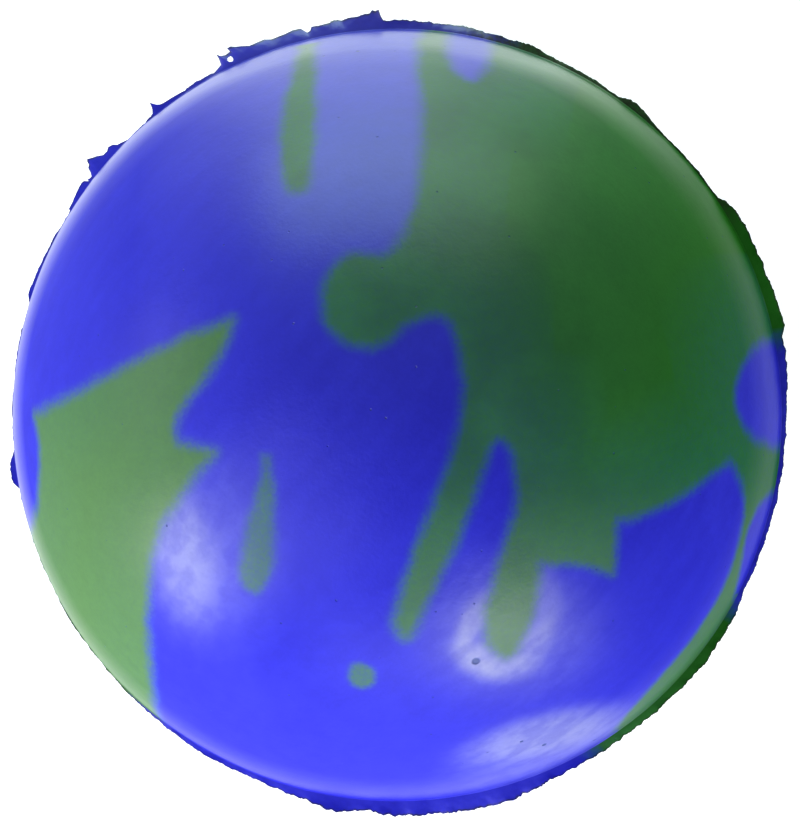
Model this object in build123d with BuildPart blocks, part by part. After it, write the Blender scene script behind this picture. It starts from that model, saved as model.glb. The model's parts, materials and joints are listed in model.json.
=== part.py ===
"""Foam stress ball painted as a stylised globe, with the torn moulding fin left on its parting line.

+Z is the axis of the two mould halves and the parting plane is XY. The origin is the ball's centre.
The front half is above the plane and the rear half is below it. All sizes are in millimetres.
"""

from build123d import *
from math import cos, radians, sin
import os

# Driving dimensions
BALL_RADIUS = 31.5
COAT = 0.3  # blue paint, with the foam's own film behind it
LAND_COAT = 0.15  # green paint, let into the blue from outside
SKIN = 0.8  # dense skin that the foam forms against the mould
CORE_GAP = 0.05  # keeps the core's round face off the skins
FIN = 0.3  # thickness of the fin, and of the gap that it fills between the halves
FIN_ROOT = 0.9  # how far the fin reaches in from the ball's surface
FIN_STEP = 2  # degrees from one point of the torn edge to the next

FRONT, REAR = 1, -1
SKIN_RADIUS = BALL_RADIUS - COAT
CORE_RADIUS = SKIN_RADIUS - SKIN - CORE_GAP
BEYOND = BALL_RADIUS + 2  # a coast drawn out to here runs off the half's rim


def half_shell(outer, inner, side):
    """Hollow half ball between two radii, from the fin's face to the pole."""
    with BuildPart() as shell:
        Sphere(outer)
        Sphere(inner, mode=Mode.SUBTRACT)
        with Locations((0, 0, side * (FIN / 2 + BEYOND))):
            Box(3 * BEYOND, 3 * BEYOND, 2 * BEYOND, mode=Mode.INTERSECT)
    return shell.part


def coast(start, *stretches):
    """Outline of one land, seen along Z, from its start and back: a stretch to one point is straight,
    and a longer one is a smooth curve."""
    with BuildSketch() as outline:
        with BuildLine():
            here = start
            for stretch in stretches:
                if len(stretch) > 1:
                    Spline(here, *stretch)
                else:
                    Line(here, stretch[0])
                here = stretch[-1]
        make_face()
    return outline.sketch


def pool(*points):
    """Outline of a small round land, one smooth closed curve through its points."""
    with BuildSketch() as outline:
        with BuildLine():
            Spline(*points, periodic=True)
        make_face()
    return outline.sketch


def dot(x, y, radius):
    """Outline of a round spot."""
    with BuildSketch() as outline:
        with Locations((x, y)):
            Circle(radius)
    return outline.sketch


def land_coat(outline, side):
    """Patch of green paint with this outline, flush with the ball's surface."""
    with BuildPart() as patch:
        with BuildSketch(Plane.XY):
            add(outline)
        extrude(amount=side * BEYOND)
        add(half_shell(BALL_RADIUS, BALL_RADIUS - LAND_COAT, side), mode=Mode.INTERSECT)
    return patch.part


def blue_coat(lands, side):
    """Blue paint of one half, with a shallow pocket for each land."""
    with BuildPart() as coat:
        add(half_shell(BALL_RADIUS, SKIN_RADIUS, side))
        add(lands, mode=Mode.SUBTRACT)
    return coat.part


def around(radius, angle):
    """Point on the parting plane at this radius and angle from +X."""
    return radius * cos(radians(angle)), radius * sin(radians(angle))


def torn_edge(crests):
    """Points along a stretch of the fin's outer edge, through (angle, height above the ball) crests."""
    points = []
    for (start, low), (end, high) in zip(crests, crests[1:]):
        steps = max(1, round((end - start) / FIN_STEP))
        for step in range(steps):
            share = step / steps
            angle = start + share * (end - start)
            raggedness = 0.05 * sin(radians(53 * angle)) * sin(radians(17 * angle))
            points.append((angle, low + share * (high - low) + raggedness))
    points.append(crests[-1])
    return [around(BALL_RADIUS + height, angle) for angle, height in points]


def fin_stretch(crests):
    """One stretch of the fin, from its root between the halves out to its torn edge."""
    root = BALL_RADIUS - FIN_ROOT
    start, end = crests[0][0], crests[-1][0]
    edge = torn_edge(crests)
    with BuildPart() as fin:
        with BuildSketch(Plane.XY):
            with BuildLine():
                Line(around(root, start), edge[0])
                Polyline(*edge)
                Line(edge[-1], around(root, end))
                CenterArc((0, 0), root, start, end - start)
            make_face()
        extrude(amount=FIN / 2, both=True)
    return fin.part


# Foam ball inside
with BuildPart() as foam_core:
    Sphere(CORE_RADIUS)
foam_core.part.label = "foam_core"

# Dense skins, one for each mould half
skins = {
    "front_skin": half_shell(SKIN_RADIUS, SKIN_RADIUS - SKIN, FRONT),
    "rear_skin": half_shell(SKIN_RADIUS, SKIN_RADIUS - SKIN, REAR),
}

# Coasts of the front half, north towards +X
mainland_coast = coast(
    (2.4, 34),
    [(2.4, 31.3), (3.1, 28), (4, 23.1), (4, 18.4)],
    [(3.4, 15.6), (1.5, 13), (-1.6, 12.8), (-3.2, 11), (-3.1, 7.8), (-0.9, 5.7), (1.9, 6.1)]
    + [(4.3, 7.9), (6.3, 8), (7.7, 5.6), (8.1, 1.8), (7, -3.7), (2.4, -16.1)],
    [(2.2, -17.3), (3, -18.2), (4, -17), (5.8, -13.2), (8.7, -7), (9.8, -3.3)],
    [(11.1, -2), (12.1, -4.1), (11.5, -9.8), (9.8, -14.9), (9.6, -18.6), (10.8, -19.8)]
    + [(12.4, -17.9), (13.4, -15), (14, -12)],
    [(15.6, -12), (19.5, -12.9)],
    [(20, -8.6)],
    [(22.8, -7.7), (25.8, -5.8), (28.4, -3.6)],
    [(29.3, -6.2), (29, -9.4), (26.9, -15), (22.2, -21.4), (15, -29)],
    [(26.4, -21)],
    [(26.9, -17.2), (28.3, -13.4), (29.5, -9), (32.4, -4.6)],
    [(33, -2.6)],
    [(30.6, -2.5), (29, -0.2), (28.9, 3), (30.3, 5.9), (33, 6.6)],
    [(34, 34)],
    [(8, 34)],
    [(7.9, 31), (8.4, 28.4), (7.7, 27.2), (6.2, 27.8), (5, 29.2), (4.4, 31), (4.2, 34)],
    [(2.4, 34)],
)
left_coast = coast(
    (-28.6, 0),
    [(-24.3, 1.8), (-18.1, 4.8), (-11, 7.6)],
    [(-12.3, 4.4), (-14.3, 1.7), (-15.6, -0.4), (-15.5, -2.3)],
    [(-12.4, -3)],
    [(-14.6, -5.6), (-17.2, -9.4), (-18.6, -14.6), (-19, -20.4), (-19.9, -26.4)],
    [(-27, -20)],
    [(-32.5, -10.5)],
    [(-30, -9.8), (-28.4, -7), (-28.6, 0)],
)
long_island_coast = coast(
    (-7, 18.8),
    [(-7.6, 22.4), (-7.6, 26), (-7.3, 28.6), (-7.6, 30.2)],
    [(-6.2, 30.4)],
    [(-5.5, 27.6), (-5, 23.4), (-5, 18.8)],
    [(-5.5, 18.2), (-6.4, 18.2), (-7, 18.8)],
)
teardrop_coast = coast(
    (-7.8, -3.4),
    [(-7.5, -6.2), (-7.6, -10), (-8.2, -13.4), (-9.2, -14.4)],
    [(-10.2, -13.6), (-10, -10.9), (-9, -7), (-8.2, -3.4)],
    [(-7.8, -3.4)],
)

# Coasts of the rear half, drawn with the same X and Y
twin_coast = coast(
    (27, -19.2),
    [(26, -14.2), (27.3, -9), (29.4, -6), (29.9, -1.5)],
    [(28, 0.2), (25.6, -2), (24.6, -5)],
    [(23.8, -1), (25.3, 2.4), (24.2, 5)],
    [(21.5, 1), (17.8, -2.2), (13.6, -4.6)],
    [(14.4, -9.5), (12.6, -12.6), (9.6, -10), (6.2, -7.4), (4.6, -3.6), (5, 3.5), (1.5, 9), (-4, 17.4)],
    [(-8.6, 15.2), (-15, 9.6), (-20.6, 3.4), (-26, 0.4)],
    [(-20, -2), (-10, -1.4), (-3.5, -5.6), (1.5, -8.6), (7.4, -14.4), (13, -18.6), (18.4, -20.6)]
    + [(19.6, -22.6)],
    [(15.4, -28.8)],
    [(27, -19.2)],
)
top_coast = coast(
    (8, 34),
    [(7.8, 31.4), (6.4, 29), (2.8, 27.4), (3.6, 25), (8.2, 23.4), (13.4, 21.6), (17, 23.2), (18.4, 25)],
    [(19.4, 22.4), (21.6, 20), (25.2, 17.4), (28, 13.2), (30, 9), (32.5, 7.6)],
    [(34, 34)],
    [(8, 34)],
)
bottom_coast = coast(
    (-19.9, -26.4),
    [(-21.4, -21.4), (-24.6, -16), (-28.4, -11), (-32.5, -9.8)],
    [(-27, -20)],
    [(-19.9, -26.4)],
)

front_outlines = {
    "front_mainland": mainland_coast,
    "front_left_land": left_coast,
    "front_long_island": long_island_coast,
    "front_teardrop_island": teardrop_coast,
    "front_dot_island": dot(-0.8, -21.2, 1),
}
rear_outlines = {
    "rear_twin_land": twin_coast,
    "rear_top_land": top_coast,
    "rear_bottom_land": bottom_coast,
    "rear_cape_island": pool((-5, 27.6), (-9.5, 25.2), (-14.5, 24), (-17.4, 24.8), (-14, 26.6), (-8.6, 28.6)),
    "rear_polar_island": pool((26, 6.8), (28, 9), (29.5, 7.4), (29.4, 4.4), (27.8, 4)),
    "rear_dot_island": dot(9.2, 2.6, 1.2),
}

# Green paint, one patch for each land, and the blue coats around it
front_lands = {name: land_coat(outline, FRONT) for name, outline in front_outlines.items()}
rear_lands = {name: land_coat(outline, REAR) for name, outline in rear_outlines.items()}
coats = {
    "front_blue_coat": blue_coat(list(front_lands.values()), FRONT),
    "rear_blue_coat": blue_coat(list(rear_lands.values()), REAR),
}

# Torn fin: (angle round from +X, height above the ball) crests, in the colour of the paint beside it
blue_crests = [
    [(75, 0.65), (85, 0.8), (92, 0.8), (93, 1.75), (97, 1.2), (101, 1.15), (102.5, 0.75), (104, 1.1)]
    + [(112, 1.15), (114.5, 1.75), (117, 1.3), (118, 0.35), (127, 0.4), (128, 1.1), (129, 0.4)]
    + [(131, 0.15), (134.5, 0.15), (136, 0.4), (138, 0.65), (139.2, 1.35), (141, 1.5), (142, 0.35)]
    + [(144, 0.75), (146, 0.55), (147.5, 0.15), (151, 0.15), (152, 0.3), (162, 0.4), (163, 0.15)]
    + [(185, 0.15), (187, 0.55), (190, 0.55), (191, 0.15), (199, 0.15)],
    [(230, 0.3), (240, 0.5), (250, 0.55), (255, 0.85), (262, 1.3), (266, 0.95), (268, 1.3), (286, 1.4)]
    + [(290, 1.1), (295, 0.9), (300, 0.8)],
    [(330, 0.7), (334, 0.45), (345, 0.45), (355, 0.45), (362, 0.55), (366, 0.75), (369, 0.85), (371, 0.8)],
]
green_crests = [
    [(11, 0.8), (14, 1.15), (20, 1), (30, 1), (32.5, 0.75), (34, 0.3), (44, 0.25), (49, 0.35), (51, 0.65)]
    + [(53, 0.7), (55, 0.3), (65, 0.4), (68, 0.65), (75, 0.65)],
    [(199, 0.15), (204, 0.2), (208, 0.15), (214, 0.25), (219, 0.15), (225, 0.3), (230, 0.3)],
    [(300, 0.8), (310, 0.75), (316, 0.9), (320, 0.95), (325, 0.85), (330, 0.7)],
]
fins = {
    "parting_fin_blue": Compound(children=[fin_stretch(crests) for crests in blue_crests]),
    "parting_fin_green": Compound(children=[fin_stretch(crests) for crests in green_crests]),
}

os.makedirs("parts", exist_ok=True)
export_step(foam_core.part, "parts/foam_core.step")
for name, piece in {**skins, **coats, **front_lands, **rear_lands, **fins}.items():
    piece.label = name
    export_step(piece, f"parts/{name}.step")
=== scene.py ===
"""Looks of a foam stress ball painted as a stylised globe.

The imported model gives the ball's radius, the coasts of the lands and the crests of the torn fin. Each
paint coat is a closed shell made from rings of triangles, with a fine soft-edged mask of the lands stored
on it. Meshes are worked out in millimetres and stored in metres. +Z is out of the front pole, towards the
camera, +X is to the camera's right, and +Y is up in the picture.
"""

import json
import math

import bpy
import numpy as np
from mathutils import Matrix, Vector


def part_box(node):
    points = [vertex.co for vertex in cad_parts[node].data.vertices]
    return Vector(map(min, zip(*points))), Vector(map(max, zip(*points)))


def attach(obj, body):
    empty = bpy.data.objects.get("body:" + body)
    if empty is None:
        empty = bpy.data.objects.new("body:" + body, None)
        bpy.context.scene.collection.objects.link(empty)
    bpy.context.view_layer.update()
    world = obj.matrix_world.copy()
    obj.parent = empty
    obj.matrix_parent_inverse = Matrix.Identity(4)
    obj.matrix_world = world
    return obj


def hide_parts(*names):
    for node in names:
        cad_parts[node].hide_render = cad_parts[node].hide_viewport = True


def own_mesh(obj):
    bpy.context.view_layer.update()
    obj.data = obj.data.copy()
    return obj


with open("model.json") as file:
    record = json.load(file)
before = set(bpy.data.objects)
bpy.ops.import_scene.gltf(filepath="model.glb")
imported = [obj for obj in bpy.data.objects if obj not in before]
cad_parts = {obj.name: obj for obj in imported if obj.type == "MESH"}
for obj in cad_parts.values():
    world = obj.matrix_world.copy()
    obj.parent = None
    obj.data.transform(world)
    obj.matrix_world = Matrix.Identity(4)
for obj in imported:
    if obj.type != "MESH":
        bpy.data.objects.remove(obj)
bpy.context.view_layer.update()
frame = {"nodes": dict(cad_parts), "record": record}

MM = 0.001
FRONT, REAR = 1, -1
BODY = {FRONT: "front_half", REAR: "rear_half"}
HALF = {FRONT: "front", REAR: "rear"}

mount_at = {m["name"]: m["pos_m"] for m in frame["record"]["mounts"]}
RADIUS = mount_at["press_point"][2] / MM

# Layers, in millimetres
COAT = 0.3  # blue paint
LAND = 0.15  # green paint, let into the blue
SKIN = 0.8  # dense skin of the foam
SEAM = 0.1  # each half stops this far from the parting plane, and the fin fills the gap
AT_RIM = 1.2 * SEAM  # points lower than this are on the rim of a half
CLEARANCE = 0.01  # room under a green patch
SKIN_CLEARANCE = 0.02  # room between the coat and the foam's skin
CORE_CLEARANCE = 0.1  # room between the skins and the core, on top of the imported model's own

# Shape of the surface, in millimetres
FLARE = 0.14  # how far the surface turns out into the fin at the seam
FLARE_REACH = 0.16
BROAD_LUMP, MIDDLE_LUMP = 0.022, 0.006  # unevenness of the painted ball
CORE_LUMP = 0.08
COAST_WOBBLE = 0.14  # random in and out of the lands' coasts
COAST_REACH = 7  # distances to a coast are worked out up to here
FAR_AWAY = 99.0

# Sizes of triangles, in millimetres
SPACING = 0.3  # painted surface
COARSE = 1.4  # hidden faces
RIM_ROWS = (0.5, 0.34, 0.22, 0.13, 0.06, 0)  # last rings of the painted surface, as distances from its rim

rng = np.random.default_rng(11)


# ---------------------------------------------------------------- surfaces

def waves(count, shortest, longest):
    """Random plane waves: a smooth, repeatable bumpiness over space."""
    heading = rng.normal(size=(count, 3))
    heading /= np.linalg.norm(heading, axis=1)[:, None]
    length = rng.uniform(shortest, longest, count)
    return heading * (2 * math.pi / length)[:, None], rng.uniform(0, 2 * math.pi, count)


def bumps(points, wave):
    """Height of those waves at the points, about -1 to 1."""
    heading, phase = wave
    return np.sin(points @ heading.T + phase).sum(1) / math.sqrt(len(phase) * 2)


BROAD = waves(18, 9, 26)
MIDDLE = waves(30, 2.5, 6)
COAST_WAVE = waves(24, 1.6, 5)


def zip_loops(inner, outer):
    """Triangles between two loops of (turn, index), facing out where the inner loop is nearer the pole."""
    inner = list(inner) + [(inner[0][0] + 1, inner[0][1])]
    outer = list(outer) + [(outer[0][0] + 1, outer[0][1])]
    i = j = 0
    made = []
    while i < len(inner) - 1 or j < len(outer) - 1:
        step_out = j < len(outer) - 1 and (i == len(inner) - 1 or outer[j + 1][0] <= inner[i + 1][0])
        if step_out:
            made.append((inner[i][1], outer[j][1], outer[j + 1][1]))
            j += 1
        else:
            made.append((inner[i][1], outer[j][1], inner[i + 1][1]))
            i += 1
    return made


def dome(spacing, ends=(0,)):
    """Directions and triangles of a half ball about +Z, with its rim as (turn, index) pairs.

    The last rings lie at these distances from the rim.
    """
    last = math.acos(SEAM / RADIUS)
    even = last - ends[0] / RADIUS
    steps = math.ceil(even * RADIUS / spacing)
    polars = [even * k / steps for k in range(1, steps + 1)]
    polars += [last - end / RADIUS for end in ends[1:]]
    points = [np.array([[0.0, 0.0, 1.0]])]
    faces = []
    before, total = [(0.0, 0)], 1
    for polar in polars:
        count = max(6, round(2 * math.pi * math.sin(polar) * RADIUS / spacing))
        turn = np.arange(count) / count
        around = 2 * math.pi * turn
        flat = math.sin(polar) * np.ones(count)
        points.append(np.c_[flat * np.cos(around), flat * np.sin(around), math.cos(polar) * np.ones(count)])
        ring = list(zip(turn.tolist(), range(total, total + count)))
        if len(before) == 1:
            faces += [(0, ring[k][1], ring[(k + 1) % count][1]) for k in range(count)]
        else:
            faces += zip_loops(before, ring)
        before, total = ring, total + count
    return np.concatenate(points), np.array(faces), before


def surface_radius(directions):
    """Radius of the painted surface: a nearly true ball that turns out into the fin at the seam."""
    height = np.abs(directions[:, 2]) * RADIUS
    at = directions * RADIUS
    lump = BROAD_LUMP * bumps(at, BROAD) + MIDDLE_LUMP * bumps(at, MIDDLE)
    return RADIUS + lump + FLARE * np.exp(-(height - SEAM) / FLARE_REACH)


def point_normals(points, faces):
    """Smooth normal at each point of a surface."""
    cross = np.cross(points[faces[:, 1]] - points[faces[:, 0]], points[faces[:, 2]] - points[faces[:, 0]])
    out = np.zeros_like(points)
    for corner in range(3):
        np.add.at(out, faces[:, corner], cross)
    return out / np.maximum(np.linalg.norm(out, axis=1), 1e-12)[:, None]


def open_edges(faces):
    """Directed edges that only one of these triangles has."""
    edges = np.concatenate([faces[:, [0, 1]], faces[:, [1, 2]], faces[:, [2, 0]]])
    key = edges.min(1).astype(np.int64) << 32 | edges.max(1)
    _, first, counts = np.unique(key, return_index=True, return_counts=True)
    return edges[first[counts == 1]]


def walls(edges, lower):
    """Triangles that go down from open edges to the copies of their ends, which lie at index + lower."""
    a, b = edges[:, 0], edges[:, 1]
    return np.concatenate([np.c_[b, a, a + lower], np.c_[b, a + lower, b + lower]])


# ---------------------------------------------------------------- lands

def coast_edges(node):
    """Edges round a land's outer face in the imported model: (start, end, is_coast), in millimetres."""
    mesh = frame["nodes"][node].data
    mesh.calc_loop_triangles()
    points = np.array([v.co for v in mesh.vertices], float).reshape(-1, 3) / MM
    faces = np.array([t.vertices[:] for t in mesh.loop_triangles])
    _, first, same = np.unique(np.round(points, 4), axis=0, return_index=True, return_inverse=True)
    faces = same.reshape(-1)[faces]
    points = points[first]
    outside = (np.linalg.norm(points, axis=1) > RADIUS - LAND / 4)[faces].all(1)
    edges = open_edges(faces[outside])
    start, end = points[edges[:, 0]], points[edges[:, 1]]
    on_rim = (np.abs(start[:, 2]) < 2 * COAT) & (np.abs(end[:, 2]) < 2 * COAT)
    along_rim = on_rim & (np.abs(start[:, 2] - end[:, 2]) < 1e-3)
    return start, end, ~along_rim


def signed_distance(points, node):
    """Distance in from the node's coast at each point of the ball, negative out at sea."""
    start, end, coast = coast_edges(node)
    flat = points[:, :2] * 0.999  # keeps the seam's own points inside the rim
    inside = np.zeros(len(points), bool)
    for (ax, ay, _), (bx, by, _) in zip(start, end):
        crosses = (ay > flat[:, 1]) != (by > flat[:, 1])
        if ay != by:
            inside ^= crosses & (flat[:, 0] < (bx - ax) * (flat[:, 1] - ay) / (by - ay) + ax)
    start, end = start[coast], end[coast]
    away = np.full(len(points), FAR_AWAY)
    along = end - start
    length = np.maximum((along ** 2).sum(1), 1e-12)
    for a, ab, ll in zip(start, along, length):
        near = np.abs(points - a).max(1) < COAST_REACH
        p = points[near] - a
        share = np.clip(p @ ab / ll, 0, 1)
        away[near] = np.minimum(away[near], np.linalg.norm(p - share[:, None] * ab, axis=1))
    return np.where(inside, away, -away)


def smoothstep(start, end, value):
    """Goes smoothly from 0 at start to 1 at end. The end may be lower than the start."""
    t = np.clip((value - start) / (end - start), 0, 1)
    return t * t * (3 - 2 * t)


# How each land is painted: cover at its coast, half the width of the mist in mm, and paleness of its green
LAND_PAINT = {
    "front_mainland": (0.92, 0.85, 0.0),
    "front_left_land": (0.97, 1.0, 1.0),
    "front_long_island": (0.90, 0.7, 0.2),
    "front_teardrop_island": (0.74, 0.7, 0.3),
    "front_dot_island": (0.80, 0.45, 0.3),
    "rear_twin_land": (0.93, 0.8, 0.35),
    "rear_bottom_land": (0.97, 0.9, 1.0),
}
USUAL_PAINT = (0.90, 0.7, 0.1)


def green_cover(points, node):
    """How much green paint lies at each point: a quick rise over the misty coast, then a slow one inland."""
    peak, mist, _ = LAND_PAINT.get(node, USUAL_PAINT)
    inland = signed_distance(points, node)
    near_coast = np.abs(inland) < 3
    inland = inland + COAST_WOBBLE * bumps(points, COAST_WAVE) * near_coast
    over_coast = peak * smoothstep(-1.15 * mist, 0.8 * mist, inland)
    further_in = (1 - peak) * smoothstep(0.6, 12, inland)
    return over_coast + further_in


# Pale places, partly scuffed thin paint and partly painted highlight: centre (x, y), half length and half
# width in mm, turn in degrees, and strength
WEAR_AND_HIGHLIGHT_PATCHES = [
    ((-15.3, -11.6), 5.2, 2.8, 97, 0.38),
    ((-12.3, -10.2), 6.8, 5.0, 90, 0.14),
    ((8.4, -16.6), 2.4, 0.9, 62, 0.45),
    ((8.4, -19.7), 1.9, 1.3, -25, 0.48),
    ((10.6, -20.6), 2.6, 1.1, 5, 0.36),
    ((13.2, -18.6), 2.2, 1.1, 55, 0.28),
    ((14.3, -14.8), 3.0, 1.2, 95, 0.13),
    ((11.2, -17.2), 6.6, 5.4, 0, 0.20),
    ((12.9, -26.1), 6.3, 1.55, 16, 0.50),
    ((13.6, -27.6), 8.5, 1.9, 17, 0.14),
]
WEAR_AND_HIGHLIGHT_FALLOFF = 1.7  # higher makes a patch's middle even and its edge quick


def wear_and_highlight_share(points):
    """How pale the ball is at each point from scuffed paint and painted highlight, 0 to 1. Only the front
    half has these patches.
    """
    total = np.zeros(len(points))
    for (x, y), length, width, turn, strength in WEAR_AND_HIGHLIGHT_PATCHES:
        across, up = points[:, 0] - x, points[:, 1] - y
        c, s = math.cos(math.radians(turn)), math.sin(math.radians(turn))
        spread = ((across * c + up * s) / length) ** 2 + ((up * c - across * s) / width) ** 2
        total += strength * np.exp(-spread ** WEAR_AND_HIGHLIGHT_FALLOFF) * (points[:, 2] > 0)
    return np.clip(total, 0, 1)


# ---------------------------------------------------------------- meshes

def new_piece(name, points, faces, normals, smooth, material, **fields):
    """Mesh object from points in millimetres. Smooth faces take the points' normals, the rest are flat."""
    used, faces = np.unique(faces, return_inverse=True)
    faces = faces.reshape(-1, 3)
    points, normals = points[used], normals[used]
    mesh = bpy.data.meshes.new(name)
    mesh.from_pydata((points * MM).tolist(), [], faces.tolist())
    flat = np.cross(points[faces[:, 1]] - points[faces[:, 0]], points[faces[:, 2]] - points[faces[:, 0]])
    flat /= np.maximum(np.linalg.norm(flat, axis=1), 1e-12)[:, None]
    corners = np.where(smooth[:, None, None], normals[faces], flat[:, None, :]).reshape(-1, 3)
    rest = mesh.attributes.new("rest", "FLOAT_VECTOR", "POINT")
    rest.data.foreach_set("vector", points.astype(np.float32).ravel())
    for field, values in fields.items():
        attribute = mesh.attributes.new(field, "FLOAT", "POINT")
        attribute.data.foreach_set("value", values[used].astype(np.float32))
    mesh.shade_smooth()
    mesh.normals_split_custom_set(corners.tolist())
    mesh.materials.append(material)
    piece = bpy.data.objects.new(name, mesh)
    bpy.context.scene.collection.objects.link(piece)
    return piece


def thick_patch(top, below, faces):
    """Points and triangles of a closed sheet with this upper face and these lower points."""
    count = len(top)
    closed = np.concatenate([faces, faces[:, ::-1] + count, walls(open_edges(faces), count)])
    return np.concatenate([top, below]), closed


def fit(piece, body, node):
    """Hangs a piece on its body and stands it in for its CAD node, which it hides.
    """
    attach(piece, body)
    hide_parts(node)
    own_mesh(piece)


# ---------------------------------------------------------------- materials

class Nodes:
    """Short names for building one material's nodes."""

    def __init__(self, name):
        self.material = bpy.data.materials.new(name)
        self.material.use_nodes = True
        self.tree = self.material.node_tree
        self.shader = self.tree.nodes["Principled BSDF"]

    def set(self, name, value):
        """Gives a socket of the shader a number, a colour or another node's output."""
        self.link(value, self.shader.inputs[name])

    def link(self, value, socket):
        """Links an output to the socket, or sets the socket to a number, colour or vector."""
        if isinstance(value, bpy.types.NodeSocket):
            self.tree.links.new(value, socket)
        else:
            socket.default_value = value

    def node(self, kind, output=0, settings=(), **inputs):
        """One output of a new node. An input is given by its name, or by its number after an underscore."""
        made = self.tree.nodes.new("ShaderNode" + kind)
        for key, value in dict(settings).items():
            setattr(made, key, value)
        for key, value in inputs.items():
            self.link(value, made.inputs[int(key[1:]) if key[1:].isdigit() else key])
        return made.outputs[output]

    def field(self, name):
        """A number stored at the mesh's points."""
        return self.node("Attribute", "Fac", {"attribute_name": name})

    def rest(self):
        """Place on the ball at rest, in millimetres."""
        return self.node("Attribute", "Vector", {"attribute_name": "rest"})

    def noise(self, scale, detail=2.0, at=None):
        """Random clouds, about this many to one unit of the place, which is a millimetre on the ball."""
        place = at if at is not None else self.rest()
        return self.node("TexNoise", "Fac", Vector=place, Scale=scale, Detail=detail)

    def math(self, operation, a, b=0.0, clamp=False):
        """Sum, product or another operation on two numbers."""
        return self.node("Math", 0, {"operation": operation, "use_clamp": clamp}, _0=a, _1=b)

    def span(self, value, low, high, to_low, to_high):
        """Value moved from the range low to high on to the range to_low to to_high, and held inside it."""
        made = self.tree.nodes.new("ShaderNodeMapRange")
        for key, number in zip((0, 1, 2, 3, 4), (value, low, high, to_low, to_high)):
            self.link(number, made.inputs[key])
        return made.outputs[0]

    def blend(self, share, a, b, how="MIX"):
        """Colour a, with this share of colour b mixed in."""
        made = self.tree.nodes.new("ShaderNodeMix")
        made.data_type, made.blend_type = "RGBA", how
        for key, value in zip((0, 6, 7), (share, a, b)):
            self.link(value, made.inputs[key])
        return made.outputs[2]

    def tint(self, colour, shade):
        """The colour, made darker or lighter."""
        return self.blend(1.0, colour, self.node("CombineXYZ", 0, X=shade, Y=shade, Z=shade), "MULTIPLY")

    def bump(self, height, distance, under=None):
        """Normal of a surface with this height on it, and on top of another bump if one is given."""
        inputs = {"Height": height, "Distance": distance, "Strength": 1.0}
        if under is not None:
            inputs["Normal"] = under
        return self.node("Bump", 0, **inputs)


# Colours, in linear light
BLUE = (0.017, 0.019, 0.425, 1)
DEEP_BLUE = (0.014, 0.015, 0.385, 1)
GREEN = (0.023, 0.106, 0.032, 1)
DARK_GREEN = (0.018, 0.082, 0.030, 1)
SHADED_RIGHT_GREEN = (0.011, 0.098, 0.008, 1)  # painted shade: darker green towards the ball's right side, where less light falls
PALE_GREEN = (0.056, 0.140, 0.044, 1)
# Pale colour of scuffed thin paint, which also serves as a painted highlight
WEAR_AND_HIGHLIGHT_COLOUR = (0.49, 0.54, 0.42, 1)
# Painted shade on the fin: near black along its edge and on its darkened stretches
EDGE_SHADE = (0.022, 0.024, 0.018, 1)
# Painted shade inside the pits
PIT_SHADE = (0.012, 0.035, 0.16, 1)
OPEN_FOAM = (0.86, 0.83, 0.70, 1)
FOAM_SKIN_COLOUR = (0.80, 0.78, 0.68, 1)

# Small pits in the paint of the front half: centre (x, y) and radius, in mm
PITS = [
    (8.45, -20.0, 0.34),
    (11.3, -26.6, 0.15),
    (12.95, -26.9, 0.20),
    (16.5, -26.6, 0.15),
    (-6.9, 29.9, 0.12),
    (-5.1, 29.3, 0.10),
    (-2.3, 29.7, 0.14),
    (4.6, 30.1, 0.12),
]
STREAK_TURN = math.radians(52)
STREAK_STRETCH = (4.5, 1.0, 1.0)


def paint_colour(n, cover, across, mottle, grain):
    """Blue, and green where the cover says, with pale patches of scuffing and painted highlight, painted
    shade on the green's right side and on the fin, and mottling.
    """
    cloud = n.noise(0.12, 3)
    streak_place = n.node("Mapping", 0, {"vector_type": "TEXTURE"}, Vector=n.rest(),
                          Rotation=(0, 0, STREAK_TURN), Scale=STREAK_STRETCH)
    streak = n.noise(0.6, 2, at=streak_place)
    blue = n.blend(n.span(n.math("ADD", cloud, streak), 0.75, 1.25, 0, 1), DEEP_BLUE, BLUE)
    green = n.blend(n.span(cloud, 0.4, 0.6, 0, 1), DARK_GREEN, GREEN)
    # Painted shade: the green darkens towards the right side
    green = n.blend(n.span(across, 12, 27, 0, 1), green, SHADED_RIGHT_GREEN)
    # Paler green: the land's own paleness, with painted light towards the bottom and painted shade towards
    # the top
    green = n.blend(n.field("pale"), green, PALE_GREEN)
    colour = n.blend(cover, blue, green)

    # Pale patches: scuffed thin paint and a painted highlight, broken up by streaks
    scratches = n.math("ADD", n.math("MULTIPLY", streak, 1.6), n.math("MULTIPLY", mottle, 0.6))
    painted_light_share = n.math("MULTIPLY", n.field("wear_and_highlight"), n.span(scratches, 0.9, 1.25, 0.7, 1.0))
    painted_light_share = n.math("MULTIPLY", painted_light_share, n.span(cover, 0, 1, 0.5, 0.12))
    colour = n.blend(painted_light_share, colour, WEAR_AND_HIGHLIGHT_COLOUR)
    # Painted shade: dark on the fin where its edge field says
    edge = n.math("MULTIPLY", n.field("edge"), n.span(grain, 0.4, 0.6, 0.5, 0.9))
    colour = n.blend(edge, colour, EDGE_SHADE)
    return n.tint(colour, n.span(n.math("ADD", mottle, grain), 0.7, 1.3, 0.95, 1.05))


def pit_depth(n):
    """Depth of the pits, 0 to 1: the named ones, and random specks."""
    depth = 0.0
    for x, y, radius in PITS:
        spot = (x, y, math.sqrt(RADIUS ** 2 - x ** 2 - y ** 2))
        away = n.node("VectorMath", "Value", {"operation": "DISTANCE"}, _0=n.rest(), _1=spot)
        depth = n.math("MAXIMUM", depth, n.span(away, 0.7 * radius, 1.2 * radius, 1, 0))
    speck = n.node("TexVoronoi", "Distance", Vector=n.rest(), Scale=0.45)
    return n.math("MAXIMUM", depth, n.span(speck, 0.028, 0.05, 0.6, 0))


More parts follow.
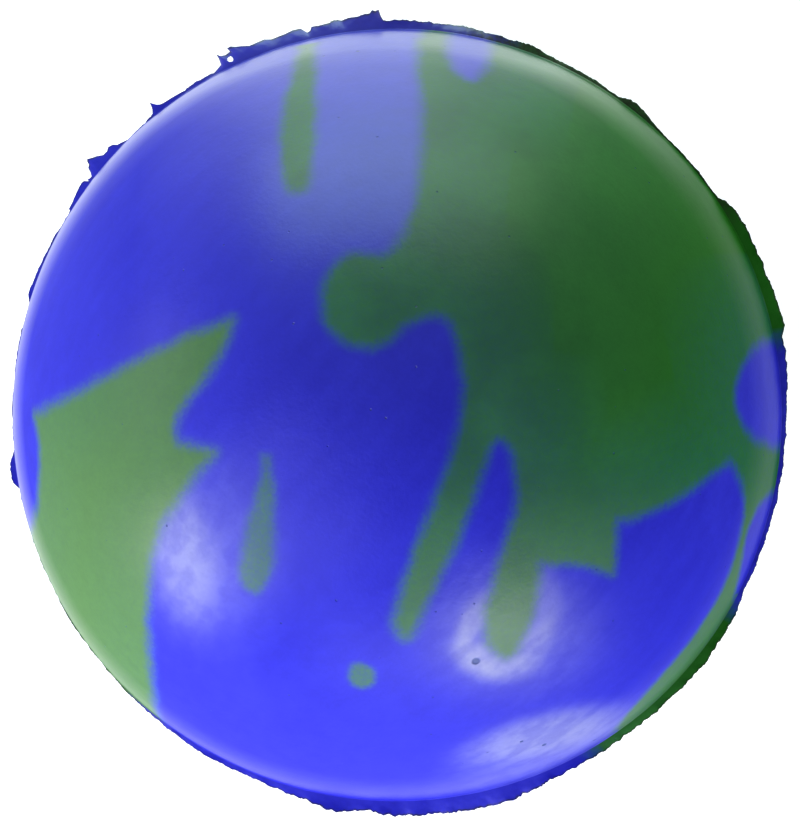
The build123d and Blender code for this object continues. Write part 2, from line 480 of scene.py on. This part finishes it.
def gloss_weight(n, cover, across, up, height):
    """Strength of the clear film: more towards the top and near the rim, less on green and to the right.

    Across, up and height are millimetres from the ball's middle.
    """
    upper = n.math("MULTIPLY", n.span(up, -6, 20, 0, 0.40), n.span(across, -20, -7, 0, 1))
    crest = n.math("MULTIPLY", n.span(up, 23, 29, 0, 0.25), n.span(across, -20, -12, 0, 1))
    gloss = n.math("MULTIPLY", n.math("ADD", upper, crest), n.span(across, 3, 18, 1, 0.15))
    gloss = n.math("MULTIPLY", gloss, n.span(cover, 0, 1, 1, 0.62))

    from_seam = n.math("ABSOLUTE", height)
    rim = n.math("MULTIPLY", n.span(from_seam, 5.6, 10.5, 0.62, 0), n.span(across, 12, 25, 1, 0.2))
    rim = n.math("MULTIPLY", rim, n.span(up, -25, -8, 0.35, 1))
    upper_left = n.math("MULTIPLY", n.span(up, 6, 18, 0, 1), n.span(across, 5, 20, 1, 0.1))
    rim = n.math("ADD", rim, n.math("MULTIPLY", n.span(from_seam, 6, 13.5, 0.24, 0), upper_left))
    rim = n.math("MULTIPLY", rim, n.span(n.field("film"), 0, 1, 1, 0))
    least = n.span(across, 10, 24, 0.11, 0.03)
    return n.math("ADD", n.math("ADD", gloss, rim), least, clamp=True)


def paint(name):
    """Satin in-mould paint, blue and green, with mist at the coasts, pale patches of scuffing and painted
    highlight, pits darkened with painted shade, painted shade on the fin, and mottling.
    """
    n = Nodes(name)
    mottle, grain = n.noise(0.9, 3), n.noise(3.2, 2)
    place = n.tree.nodes.new("ShaderNodeSeparateXYZ")
    n.link(n.rest(), place.inputs[0])
    across, up, height = place.outputs

    land = n.field("land")
    mist = n.math("MULTIPLY", land, n.math("SUBTRACT", 1.0, land))
    fleck = n.math("MULTIPLY", n.math("SUBTRACT", grain, 0.5), n.math("MULTIPLY", mist, 2.4))
    cover = n.math("ADD", land, fleck, clamp=True)
    depth = pit_depth(n)
    colour = paint_colour(n, cover, across, mottle, grain)
    # The pits are darkened with painted shade
    n.set("Base Color", n.blend(n.math("MULTIPLY", depth, 0.8), colour, PIT_SHADE))

    # The gloss is a thin clear film over flat paint
    n.set("Specular IOR Level", 0.0)
    n.set("Roughness", 0.8)
    n.set("Coat Weight", gloss_weight(n, cover, across, up, height))
    n.set("Coat IOR", 1.9)
    n.set("Coat Roughness", 0.36)
    fine = n.bump(n.math("ADD", grain, n.math("MULTIPLY", mottle, 1.5)), 0.012 * MM)
    pitted = n.bump(n.math("SUBTRACT", 0.0, depth), 0.08 * MM, fine)
    n.set("Normal", pitted)
    n.set("Coat Normal", pitted)
    return n.material


def foam(name, colour, cell):
    """Matt foam with small open cells, about this many to a millimetre."""
    n = Nodes(name)
    cells = n.node("TexVoronoi", "Distance", Vector=n.rest(), Scale=cell)
    # Painted shade: the foam is darker in its open cells
    darker = tuple(c * 0.55 for c in colour[:3]) + (1,)
    cell_shaded = n.blend(n.span(cells, 0.0, 0.25, 0.45, 0.0), colour, darker)
    n.set("Base Color", n.tint(cell_shaded, n.span(n.noise(0.4, 4), 0.3, 0.7, 0.88, 1.04)))
    n.set("Roughness", n.span(cells, 0.0, 0.4, 0.95, 0.8))
    n.set("Normal", n.bump(cells, 0.15 * MM))
    return n.material


PAINT = paint("painted_foam")
FOAM = foam("open_foam", OPEN_FOAM, 1.6)
FOAM_SKIN = foam("foam_skin", FOAM_SKIN_COLOUR, 4.0)


# ---------------------------------------------------------------- painted halves

LEAST_COVER = 0.003  # a triangle with less green than this belongs to the blue coat


def land_nodes(side):
    """CAD nodes of the lands on one half."""
    green = [s["node"] for s in frame["record"]["subparts"] if s["material_slot"] == "land_green"]
    return [node for node in green if (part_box(node)[1].z > SEAM * MM * 3) == (side == FRONT)]


def paleness(nodes, cover, up):
    """How pale the green is at each point: as its land says, with painted shade making it less pale towards
    the top and painted light making it paler at the bottom.
    """
    of_land = np.array([LAND_PAINT.get(node, USUAL_PAINT)[2] for node in nodes])[cover.argmax(0)]
    # Painted shade towards the top, painted light towards the bottom
    shaded_towards_top = of_land * (1 - 0.25 * smoothstep(-9, 3, up))
    return np.maximum(shaded_towards_top, 0.5 * smoothstep(-3, -14, up))


def land_of_faces(faces, cover):
    """Which land's patch each triangle belongs to, or -1 for the blue coat."""
    strongest = cover.max(0)
    greenest = np.take_along_axis(faces, strongest[faces].argmax(1)[:, None], 1)[:, 0]
    return np.where(strongest[greenest] > LEAST_COVER, cover.argmax(0)[greenest], -1)


def rim_loop(rim, sea, dry, heights, lower):
    """The coat's outer rim as (turn, index) pairs. It steps down by lower where a land crosses the rim."""
    level = {}
    for low, group in ((0, sea), (lower, dry)):
        edges = open_edges(group)
        for a, b in edges[(heights[edges] < AT_RIM).all(1)]:
            level[(min(a, b), max(a, b))] = low
    loop = []
    for (turn, a), (_, b) in zip(rim, rim[1:] + rim[:1]):
        low = level[(min(a, b), max(a, b))]
        for at, index in ((turn, a + low), (turn + 1 / len(rim), b + low)):
            if not loop or loop[-1][1] != index:
                loop.append((at, index))
    if loop[-1][1] == loop[0][1]:
        loop.pop()
    return loop


def blue_coat(side, top, floor, normals, rim, sea, dry, fields):
    """Closed blue coat of one half: its outer face, the pockets of the lands, and a plain inner face."""
    count = len(top)
    heights = np.abs(top[:, 2])
    shore = open_edges(sea)
    at_rim = (heights[shore] < AT_RIM).all(1)
    inner_directions, inner_faces, inner_rim = dome(COARSE)
    inner = inner_directions * (1, 1, side) * (RADIUS - COAT)
    inner_faces = inner_faces if side == REAR else inner_faces[:, ::-1]
    inner_loop = [(turn, index + 2 * count) for turn, index in inner_rim]
    band = np.array(zip_loops(inner_loop, rim_loop(rim, sea, dry, heights, count)))
    band = band[:, ::-1] if side == FRONT else band
    pocket_walls = walls(shore[~at_rim], count)
    closed = np.concatenate([sea, dry + count, pocket_walls, inner_faces + 2 * count, band])
    points = np.concatenate([top, floor, inner])
    lean = np.concatenate([normals, normals, inner])
    smooth = np.arange(len(closed)) < len(sea)
    hidden = np.zeros(len(inner))
    fields = {field: np.concatenate([values, values, hidden]) for field, values in fields.items()}
    coat = new_piece(HALF[side] + "_blue_paint", points, closed, lean, smooth, PAINT, **fields)
    fit(coat, BODY[side], HALF[side] + "_blue_coat")


def foam_skin(side):
    """Dense skin of the foam under one blue coat."""
    directions, faces, _ = dome(COARSE)
    outer = directions * (1, 1, side) * (RADIUS - COAT - SKIN_CLEARANCE)
    inner = outer * ((RADIUS - COAT - SKIN) / (RADIUS - COAT))
    faces = faces if side == FRONT else faces[:, ::-1]
    points, closed = thick_patch(outer, inner, faces)
    normals = np.tile(outer / RADIUS, (2, 1))
    smooth = np.arange(len(closed)) < len(faces)
    skin = new_piece(HALF[side] + "_foam_skin", points, closed, normals, smooth, FOAM_SKIN)
    fit(skin, BODY[side], HALF[side] + "_skin")


def painted_half(side):
    """Green patches, blue coat and foam skin of one half."""
    directions, faces, rim = dome(SPACING, RIM_ROWS)
    directions = directions * (1, 1, side)
    faces = faces if side == FRONT else faces[:, ::-1]
    outward = surface_radius(directions)[:, None]
    top = directions * outward
    floor = directions * (outward - LAND)
    patch_floor = directions * (outward - LAND + CLEARANCE)
    normals = point_normals(top, faces)
    nodes = land_nodes(side)
    cover = np.array([green_cover(directions * RADIUS, node) for node in nodes])
    owner = land_of_faces(faces, cover)
    fields = {"land": cover.max(0), "pale": paleness(nodes, cover, top[:, 1]), "wear_and_highlight": wear_and_highlight_share(top)}
    both = {field: np.tile(values, 2) for field, values in fields.items()}
    for index, node in enumerate(nodes):
        points, closed = thick_patch(top, patch_floor, faces[owner == index])
        smooth = np.arange(len(closed)) < (owner == index).sum()
        piece = new_piece(node + "_paint", points, closed, np.tile(normals, (2, 1)), smooth, PAINT, **both)
        fit(piece, BODY[side], node)
    blue_coat(side, top, floor, normals, rim, faces[owner < 0], faces[owner >= 0], fields)
    foam_skin(side)


for half_side in (FRONT, REAR):
    painted_half(half_side)


# ---------------------------------------------------------------- foam inside

def core():
    """The foam ball inside its skins."""
    directions, faces, rim = dome(COARSE)
    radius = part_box("foam_core")[1].z / MM
    equator = [index for _, index in rim]
    count = len(directions)
    both = np.concatenate([directions, directions * (1, 1, -1)])
    waist = walls(np.array(list(zip(equator, equator[1:] + equator[:1]))), count)
    closed = np.concatenate([faces, faces[:, ::-1] + count, waist])
    lump = CORE_LUMP * bumps(both * radius, MIDDLE)
    points = both * (radius - CORE_CLEARANCE + lump)[:, None]
    smooth = np.ones(len(closed), bool)
    piece = new_piece("core_foam", points, closed, point_normals(points, closed), smooth, FOAM)
    fit(piece, "ball_middle", "foam_core")


core()


# ---------------------------------------------------------------- torn fin

FIN_NODES = {"parting_fin_blue": "fin_blue", "parting_fin_green": "fin_green"}
FIN_STEPS = 3600  # round the ring
FIN_ROWS = 20  # from root to edge
FIN_ROOT = RADIUS - 0.6  # under the paint
FIN_LEAST = 0.12  # lowest height above the ball
COLOUR_MIX = 40  # steps over which blue turns to green
FILM_SCUFF = 0.03  # slight wear all over the film

# Larger torn pieces, followed round their edges: (angle in degrees, height above the ball)
TORN_PIECES = [
    [
        (99.7, 1.12), (101.4, 1.04), (102.5, 1.07), (102.8, 0.79), (103.3, 0.68), (104.1, 1.15),
        (105.2, 1.19), (106.4, 1.06), (108.6, 0.97), (109.6, 1.16), (111.8, 1.09), (113.7, 1.48),
        (114.4, 1.68), (115.05, 1.64), (114.8, 1.33), (115.6, 1.21), (116.3, 1.32), (116.75, 1.58),
        (116.7, 1.15), (116.8, 0.65), (118.0, 0.36),
    ],
    [
        (123.2, 0.33), (126.1, 0.45), (127.4, 0.55), (128.0, 0.8), (128.5, 1.22), (128.55, 0.97),
        (128.8, 0.6), (129.2, 0.33),
    ],
    [
        (136.1, 0.43), (136.5, 0.7), (137.3, 0.86), (137.8, 0.7), (138.6, 0.72), (139.4, 1.1),
        (140.2, 1.37), (140.6, 1.54), (140.9, 1.36), (141.0, 1.14), (141.5, 1.0), (141.75, 0.65),
        (142.1, 0.38),
    ],
    [
        (142.9, 0.3), (143.3, 0.6), (143.8, 0.7), (144.5, 0.64), (145.9, 0.49), (147.2, 0.4),
        (148.0, 0.36),
    ],
]
# The small hole in the film: angle in degrees, height above the ball and radius
HOLE_ANGLE, HOLE_HEIGHT, HOLE_RADIUS = 115.2, 0.72, 0.24
# Where the film is dark all over with painted shade: it sets in and ends between these angles in degrees
DARK_FROM, DARK_TO = (26, 36), (76, 84)


def packed_crests():
    """The fin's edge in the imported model: sorted angles in degrees, radii, and which node each is from."""
    angle, reach, node = [], [], []
    for which, name in enumerate(FIN_NODES):
        points = np.array([v.co for v in frame["nodes"][name].data.vertices], float).reshape(-1, 3) / MM
        out = np.hypot(points[:, 0], points[:, 1])
        edge = points[(out > RADIUS - 0.05) & (points[:, 2] > 0)]
        angle.append(np.degrees(np.arctan2(edge[:, 1], edge[:, 0])) % 360)
        reach.append(np.hypot(edge[:, 0], edge[:, 1]))
        node.append(np.full(len(edge), which))
    angle, reach, node = (np.concatenate(x) for x in (angle, reach, node))
    order = np.argsort(angle)
    return angle[order], reach[order], node[order]


def ragged(turn, step, sharp):
    """Random jags round the ring, one for each step in degrees: smooth, or pointed if sharp."""
    count = round(360 / step)
    knots = rng.uniform(-1, 1, count)
    at = turn / 360 * count
    low = np.floor(at).astype(int)
    share = at - low
    if not sharp:
        share = share * share * (3 - 2 * share)
    value = knots[low % count] * (1 - share) + knots[(low + 1) % count] * share
    return 1 - 2 * np.abs(value) if sharp else value


def follow(turn, piece):
    """Angle and height of the torn piece's edge for each root angle, evenly along the edge's length."""
    angle, height = np.array(piece).T
    length = np.hypot(np.diff(np.radians(angle)) * RADIUS, np.diff(height))
    along = np.r_[0, np.cumsum(length)] / length.sum()
    share = (turn - angle[0]) / (angle[-1] - angle[0])
    return np.interp(share, along, angle), np.interp(share, along, height)


def fin_edge(turn):
    """The film round the ring: its height, its sideways lean in degrees, and the node it stands for."""
    angle, reach, node = packed_crests()
    crest = np.interp(turn, angle, reach, period=360) - RADIUS
    middle = (turn + 0.5 * 360 / FIN_STEPS) % 360
    which = node[np.clip(np.searchsorted(angle, middle), 0, len(node) - 1)]
    jag = 0.5 * ragged(turn, 1.6, True) + 0.35 * ragged(turn, 0.7, True) + 0.25 * ragged(turn, 0.3, False)
    crest = np.maximum(crest + (0.05 + 0.10 * crest) * jag, FIN_LEAST)
    lean = 0.5 * ragged(turn, 3.5, False) * np.clip(crest, 0, 1.5)
    for piece in TORN_PIECES:
        mine = (turn >= piece[0][0]) & (turn <= piece[-1][0])
        edge_angle, edge_height = follow(turn[mine], piece)
        lean[mine] = edge_angle - turn[mine]
        crest[mine] = edge_height + 0.03 * jag[mine]
    return crest, lean, which


def halved(cells):
    """Two triangles for each cell, given by its four corners."""
    a, b, c, d = cells
    return np.concatenate([np.stack([a, b, c], -1), np.stack([a, c, d], -1)])


def fins():
    """The torn film round the parting line, one piece for each colour."""
    turn = np.arange(FIN_STEPS + 1) * 360 / FIN_STEPS
    crest, lean, which = fin_edge(turn)
    curl = 0.28 * ragged(turn, 9, False) + 0.12 * ragged(turn, 2.4, False)
    wrapped = np.r_[which[-COLOUR_MIX:], which, which[:COLOUR_MIX]]
    even = np.ones(COLOUR_MIX + 1) / (COLOUR_MIX + 1)
    green = np.convolve(wrapped, even, "same")[COLOUR_MIX:-COLOUR_MIX]
    for around in (crest, lean, curl, green):
        around[-1] = around[0]

    # Rows from the root, under the paint, to the edge. Free is the share of the film outside the ball
    depth = RADIUS - FIN_ROOT
    width = (depth + crest)[:, None]
    along = np.linspace(0, 1, FIN_ROWS)[None, :]
    out = FIN_ROOT + along * width
    start = depth / width
    free = np.clip((along - start) / (1 - start), 0, 1)
    spin = np.radians(turn[:, None] + lean[:, None] * free ** 1.5)
    lift = curl[:, None] * np.clip(crest, 0, 1.6)[:, None] * free ** 2
    half = (SEAM * (1 - 0.55 * free)).ravel()
    flat = np.stack([out * np.cos(spin), out * np.sin(spin)], -1).reshape(-1, 2)
    rough = 0.03 * bumps(np.c_[flat, np.zeros(len(flat))], waves(24, 0.5, 1.4)) * free.ravel()
    middle = lift.ravel() + rough
    top = np.c_[flat, middle + half]
    below = np.c_[flat, middle - half]

    a = np.arange(FIN_STEPS)[:, None] * FIN_ROWS + np.arange(FIN_ROWS - 1)[None, :]
    cells = np.stack([a, a + 1, a + FIN_ROWS + 1, a + FIN_ROWS])
    hole_turn, hole_out = math.radians(HOLE_ANGLE), RADIUS + HOLE_HEIGHT
    hole_at = hole_out * np.array([math.cos(hole_turn), math.sin(hole_turn)])
    whole = np.linalg.norm((flat[cells[0]] + flat[cells[2]]) / 2 - hole_at, axis=2) > HOLE_RADIUS
    normals = np.tile(point_normals(top, halved(cells.reshape(4, -1))), (2, 1))
    # Painted shade on the film: dark along its outer edge, where it stands low, and on the dark stretch
    dark_stretch = smoothstep(*DARK_FROM, turn) * (1 - smoothstep(*DARK_TO, turn))
    low_film = 0.8 * (1 - smoothstep(0.2, 0.5, crest))
    painted_light_share = smoothstep(0.82, 0.96, free) + np.maximum(low_film, dark_stretch)[:, None]
    painted_light_share = np.tile(np.clip(painted_light_share, 0, 1).ravel(), 2)
    for index, (name, slot) in enumerate(FIN_NODES.items()):
        mine = (which[:-1] == index)[:, None] & whole
        faces = halved(cells[:, mine])
        points, closed = thick_patch(top, below, faces)
        smooth = np.arange(len(closed)) < 2 * len(faces)
        fields = {
            "land": np.tile(np.repeat(green, FIN_ROWS), 2),
            "wear_and_highlight": np.full(len(points), FILM_SCUFF),
            "edge": painted_light_share,
            "film": np.ones(len(points)),
        }
        piece = new_piece(slot + "_film", points, closed, normals, smooth, PAINT, **fields)
        fit(piece, "ball_middle", name)


fins()


# ---------------------------------------------------------------- stage, light and camera

WHITE = (1.0, 1.0, 1.0, 1)
FLOOR_REACH = 30.0  # metres, so that the floor's end lies at the horizon in low views


def stage_floor():
    """Plain pale floor under the ball. Its faint glow keeps it white round the ball, as in the photo."""
    n = Nodes("pale_floor")
    tone = n.span(n.noise(8, 3, at=n.node("NewGeometry", "Position")), 0.3, 0.7, 0.93, 0.96)
    n.set("Base Color", n.node("CombineXYZ", 0, X=tone, Y=tone, Z=tone))
    n.set("Roughness", 0.9)
    n.set("Emission Color", WHITE)
    n.set("Emission Strength", 0.4)
    mesh = bpy.data.meshes.new("floor")
    corners = [(x * FLOOR_REACH, y * FLOOR_REACH, 0) for x, y in ((-1, -1), (1, -1), (1, 1), (-1, 1))]
    mesh.from_pydata(corners, [], [(0, 1, 2, 3)])
    mesh.materials.append(n.material)
    floor = bpy.data.objects.new("floor", mesh)
    bpy.context.scene.collection.objects.link(floor)
    floor.location.z = mount_at["rest_point"][2]


# Lamps: name, azimuth and elevation in degrees, distance and (width, height) in metres, radiance, colour
LAMPS = [
    ("far_wall", 88, 18, 0.17, (0.20, 0.15), 2.9, (0.68, 1.0, 0.72)),
    ("low_left", 216, 12, 0.6, (0.26, 0.24), 16, (1, 1, 1)),
    ("low_front", 297, 12, 0.6, (0.22, 0.20), 18.5, (1, 1, 1)),
    ("front_fill", 268, 14, 0.6, (0.30, 0.26), 4.5, (1, 1, 1)),
    ("left_fill", 172, 15, 0.6, (0.34, 0.26), 3.6, (1, 1, 1)),
    ("upper_left", 228, 45, 0.7, (0.55, 0.50), 3.4, (1, 1, 1)),
]


def softbox(name, azimuth, elevation, distance, size, radiance, colour):
    """Rectangular lamp in that direction from the ball, facing it."""
    width, height = size
    data = bpy.data.lights.new(name, "AREA")
    data.shape, data.size, data.size_y = "RECTANGLE", width, height
    data.energy, data.color = radiance * math.pi * width * height, colour
    lamp = bpy.data.objects.new(name, data)
    bpy.context.scene.collection.objects.link(lamp)
    turn, rise = math.radians(azimuth), math.radians(elevation)
    direction = Vector((math.cos(rise) * math.cos(turn), math.cos(rise) * math.sin(turn), math.sin(rise)))
    lamp.location = direction * distance
    lamp.rotation_euler = direction.to_track_quat("Z", "Y").to_euler()
    lamp.visible_camera = False


# The surroundings fade from the first strength to the second between these heights, as sines of elevation
FADE_HEIGHTS = (0.12, 0.34)
FADE_STRENGTHS = (1.0, 0.2)


def surroundings():
    """White studio all round, bright near the horizon and dim overhead."""
    world = bpy.data.worlds.new("studio")
    bpy.context.scene.world = world
    world.use_nodes = True
    tree = world.node_tree
    background = tree.nodes["Background"]
    background.inputs["Color"].default_value = WHITE
    direction = tree.nodes.new("ShaderNodeTexCoord")
    parts = tree.nodes.new("ShaderNodeSeparateXYZ")
    fade = tree.nodes.new("ShaderNodeMapRange")
    tree.links.new(direction.outputs["Generated"], parts.inputs[0])
    tree.links.new(parts.outputs[2], fade.inputs[0])
    for key, number in enumerate(FADE_HEIGHTS + FADE_STRENGTHS, start=1):
        fade.inputs[key].default_value = number
    tree.links.new(fade.outputs[0], background.inputs["Strength"])


CAMERA_TILT = math.radians(5)  # from straight above the pole towards +X
CAMERA_DISTANCE = 3.0  # metres
SENSOR = 36  # millimetres, along the picture's longer side
BALL_SHARE = 0.4655  # the ball's radius as a share of the picture's longer side
AIM_RIGHT, AIM_UP = 0.2458, 0.1638  # millimetres from the ball's middle to the picture's middle


def camera():
    """Long lens nearly straight above the front pole, five degrees to the right of it."""
    data = bpy.data.cameras.new("camera")
    silhouette = math.tan(math.asin(RADIUS * MM / CAMERA_DISTANCE))
    data.sensor_width = SENSOR
    data.lens = BALL_SHARE / silhouette * SENSOR
    data.clip_start = 0.01
    eye = bpy.data.objects.new("camera", data)
    bpy.context.scene.collection.objects.link(eye)
    eye.rotation_euler = (0, CAMERA_TILT, 0)
    right = Vector((math.cos(CAMERA_TILT), 0, -math.sin(CAMERA_TILT)))
    up = Vector((0, 1, 0))
    back = Vector((math.sin(CAMERA_TILT), 0, math.cos(CAMERA_TILT)))
    eye.location = back * CAMERA_DISTANCE + (right * AIM_RIGHT + up * AIM_UP) * MM
    bpy.context.scene.camera = eye


stage_floor()
surroundings()
for lamp in LAMPS:
    softbox(*lamp)
camera()
bpy.context.scene.view_settings.view_transform = "Standard"
